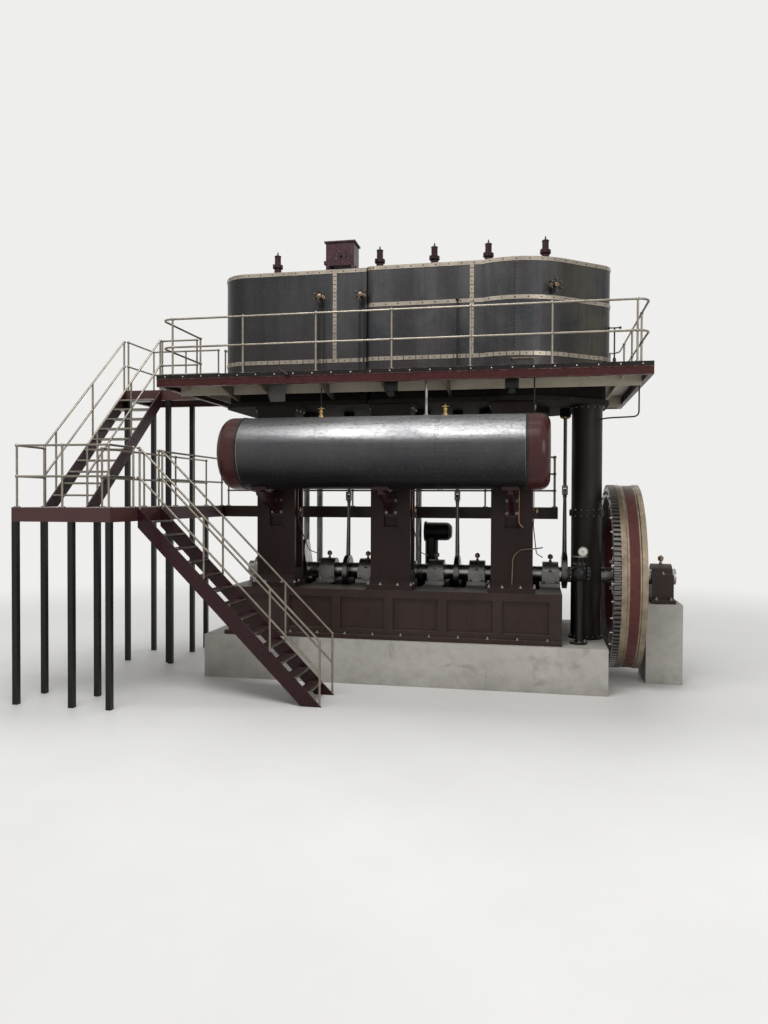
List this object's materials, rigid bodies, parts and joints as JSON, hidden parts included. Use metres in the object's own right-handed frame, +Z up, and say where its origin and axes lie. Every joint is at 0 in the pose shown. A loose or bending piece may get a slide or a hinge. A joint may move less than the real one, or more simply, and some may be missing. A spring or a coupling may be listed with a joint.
{
  "type": "vertical triple-expansion steam engine",
  "caption": "Inverted vertical steam pumping engine: lagged cylinders on cast columns over a crankshaft and flywheel, with a receiver drum, railed platforms and stairs.",
  "frame": {"origin": "on the underside of the foundation, under the axis of the middle cylinder", "axes": "+X along the crankshaft from the high pressure end to the flywheel, +Y from the drum side to the back, +Z up"},
  "size_m": [10.9566, 6.5603, 8.208],
  "materials": {
    "masonry": "painted concrete over masonry",
    "bed_paint": "dark maroon enamel on cast iron",
    "forged_steel": "bright machined steel",
    "turned_steel": "turned steel, dulled",
    "wheel_paint": "maroon rim with polished edges",
    "ring_iron": "oiled cast iron teeth",
    "black_iron": "black painted iron",
    "column_paint": "dark maroon-brown enamel on cast iron",
    "foot_paint": "dark brown enamel",
    "planished_steel": "blued planished sheet",
    "band_steel": "polished strip with rivets",
    "valve_paint": "deep maroon enamel",
    "brass_fittings": "handled brass",
    "drum_steel": "planished sheet cladding",
    "drum_paint": "maroon enamel",
    "pipe_paint": "dark brown enamel",
    "deck_plate": "grey deck plates, beige below",
    "edge_paint": "maroon channel under a dark strip",
    "bracket_paint": "beige-grey paint",
    "stair_paint": "maroon enamel",
    "rail_steel": "bare steel tube",
    "dark_rail": "dark painted tube"
  },
  "bodies": {
    "root": {"foundation": "masonry", "bedplate": "bed_paint", "main_bearings": "bed_paint", "crankshaft": "forged_steel", "flywheel": "wheel_paint", "barring_ring": "ring_iron", "outboard_bearing": "black_iron", "connecting_rods": "forged_steel", "crossheads": "forged_steel", "high_column": "column_paint", "middle_column": "column_paint", "low_column": "column_paint", "back_columns": "turned_steel", "high_cylinder_foot": "foot_paint", "middle_cylinder_foot": "foot_paint", "low_cylinder_foot": "foot_paint", "high_casing": "planished_steel", "middle_casing": "planished_steel", "low_casing": "planished_steel", "casing_bands": "band_steel", "relief_valves": "valve_paint", "vent_box": "valve_paint", "casing_valves": "brass_fittings", "receiver_drum": "drum_steel", "drum_straps": "ring_iron", "drum_ends": "drum_paint", "drum_brackets": "column_paint", "drum_fittings": "brass_fittings", "exhaust_pipe": "pipe_paint", "bypass_pipe": "black_iron", "gauge_stand": "black_iron", "valve_gear": "forged_steel", "deck_front": "deck_plate", "deck_back": "deck_plate", "deck_left": "deck_plate", "deck_right": "deck_plate", "top_landing": "stair_paint", "front_edge": "edge_paint", "back_edge": "edge_paint", "left_edge": "edge_paint", "right_edge": "edge_paint", "deck_brackets": "bracket_paint", "deck_beams": "bracket_paint", "front_handrail": "rail_steel", "right_handrail": "rail_steel", "back_handrail": "rail_steel", "left_handrail": "rail_steel", "top_landing_rails": "rail_steel", "upper_stair": "stair_paint", "upper_stair_rails": "rail_steel", "landing": "stair_paint", "end_walkway": "stair_paint", "landing_legs": "stair_paint", "landing_rails": "rail_steel", "lower_stair": "stair_paint", "lower_stair_rails": "rail_steel", "crosshead_gallery": "column_paint", "gallery_rails": "dark_rail"}
  },
  "joints": []
}
